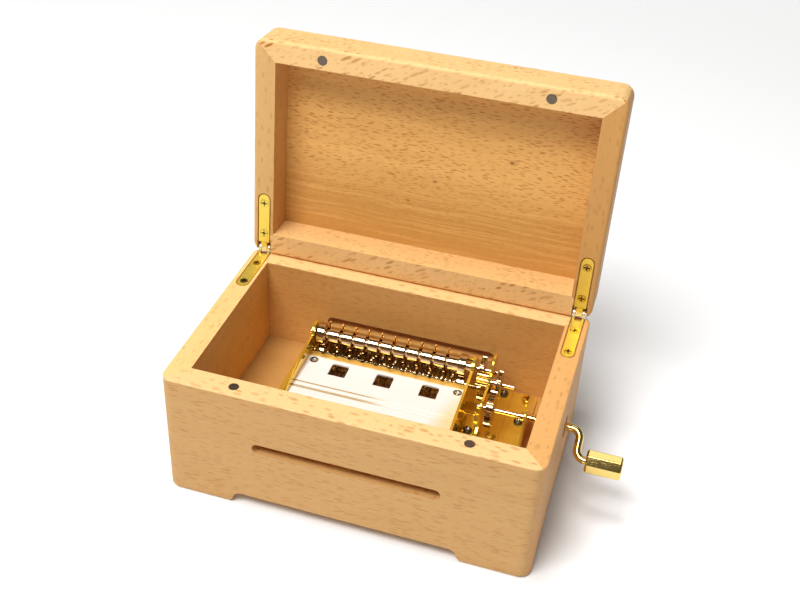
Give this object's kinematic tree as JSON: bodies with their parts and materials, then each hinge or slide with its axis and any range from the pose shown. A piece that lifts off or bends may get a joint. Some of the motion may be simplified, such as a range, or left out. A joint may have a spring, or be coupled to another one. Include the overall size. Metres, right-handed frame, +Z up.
{
  "type": "paper strip music box",
  "caption": "Small wooden box on arched feet with a hinged lid, open, holding a hand cranked paper strip music movement with star wheels and a tuned comb.",
  "frame": {"origin": "middle of the four feet, on the surface that the box stands on", "axes": "+X along the long side towards the crank, +Y from the front board to the back board, +Z up"},
  "size_m": [0.1783, 0.1214, 0.1568],
  "materials": {
    "beech_long": "fine sanded light beech with short flecks",
    "beech_side": "fine sanded light beech",
    "beech_lid": "fine sanded light beech with short flecks",
    "beech_panel": "fine sanded light wood, a little darker",
    "beech_floor": "fine sanded light wood",
    "magnet": "dark nickel, satin",
    "hinge_gold": "brass plated, satin",
    "hinge_screw": "brass plated, satin",
    "gold_plate": "gold plated sheet, polished",
    "gold_turned": "gold plated, turned and polished",
    "comb_block": "gold plated, satin",
    "comb_steel": "ground steel",
    "star_steel": "stamped steel",
    "gear_steel": "cut steel, polished",
    "shaft_steel": "drawn steel, polished",
    "movement_screw": "gold plated, polished",
    "wire_brass": "drawn brass, polished",
    "knob_brass": "turned brass, polished"
  },
  "bodies": {
    "box": {"front_board": "beech_long", "back_board": "beech_long", "left_board": "beech_side", "right_board": "beech_side", "floor_panel": "beech_floor", "body_magnets": "magnet", "hinge_left_body_leaf": "hinge_gold", "hinge_right_body_leaf": "hinge_gold", "hinge_left_pin": "hinge_gold", "hinge_right_pin": "hinge_gold", "hinge_body_screws": "hinge_screw", "movement_base_plate": "gold_plate", "movement_screws": "movement_screw", "flange_screws": "movement_screw", "left_side_plate": "gold_plate", "right_side_plate": "gold_plate", "gear_bracket": "gold_plate", "crank_bracket": "gold_plate", "comb": "comb_steel", "comb_block": "comb_block", "comb_screws": "movement_screw", "cover_plate": "gold_plate", "cover_posts": "gold_turned", "cover_screws": "movement_screw", "guide_rail": "gold_plate", "guide_fingers": "gold_plate"},
    "lid": {"lid_front_rail": "beech_lid", "lid_back_rail": "beech_lid", "lid_left_rail": "beech_lid", "lid_right_rail": "beech_lid", "lid_panel": "beech_panel", "lid_magnets": "magnet", "hinge_left_lid_leaf": "hinge_gold", "hinge_right_lid_leaf": "hinge_gold", "hinge_lid_screws": "hinge_screw"},
    "roller": {"roller_shaft": "shaft_steel", "roller_drum": "gold_turned", "roller_gear": "gear_steel", "roller_clip": "shaft_steel"},
    "feed": {"feed_shaft": "shaft_steel", "feed_wheels": "gold_turned", "feed_gear": "gear_steel", "feed_clip": "shaft_steel"},
    "stars": {"star_wheels": "star_steel"},
    "idler": {"idler_shaft": "shaft_steel", "idler_hub": "gold_turned", "idler_pinion": "gear_steel", "idler_gear": "gear_steel"},
    "crank": {"crank_shaft": "shaft_steel", "crank_collars": "gold_turned", "crank_gear": "gear_steel", "crank_wire": "wire_brass", "knob_rivet": "gold_turned"},
    "knob": {"crank_knob": "knob_brass"}
  },
  "joints": [
    {"name": "lid_hinge", "type": "hinge", "parent": "box", "child": "lid", "pos_m": [0, 0.0476, 0.06005], "axis": [1, 0, 0], "range_deg": [0, 94.86]},
    {"name": "crank_turn", "type": "hinge", "parent": "box", "child": "crank", "pos_m": [0, 0.00599, 0.033], "axis": [1, 0, 0], "continuous": true},
    {"name": "idler_turn", "type": "hinge", "parent": "box", "child": "idler", "pos_m": [0, 0.01798, 0.03695], "axis": [1, 0, 0], "continuous": true},
    {"name": "roller_turn", "type": "hinge", "parent": "box", "child": "roller", "pos_m": [0, 0.02565, 0.0365], "axis": [1, 0, 0], "continuous": true},
    {"name": "feed_turn", "type": "hinge", "parent": "box", "child": "feed", "pos_m": [0, 0.02565, 0.02612], "axis": [1, 0, 0], "continuous": true},
    {"name": "stars_turn", "type": "hinge", "parent": "box", "child": "stars", "pos_m": [0, 0.02565, 0.02612], "axis": [1, 0, 0], "continuous": true},
    {"name": "knob_turn", "type": "hinge", "parent": "crank", "child": "knob", "pos_m": [0, -0.00331, 0.02574], "axis": [1, 0, 0], "continuous": true}
  ],
  "couplings": [
    {"joint": "idler_turn", "follows": "crank_turn", "ratio": -1.3333},
    {"joint": "roller_turn", "follows": "crank_turn", "ratio": 0.55556},
    {"joint": "feed_turn", "follows": "crank_turn", "ratio": -0.60606}
  ]
}
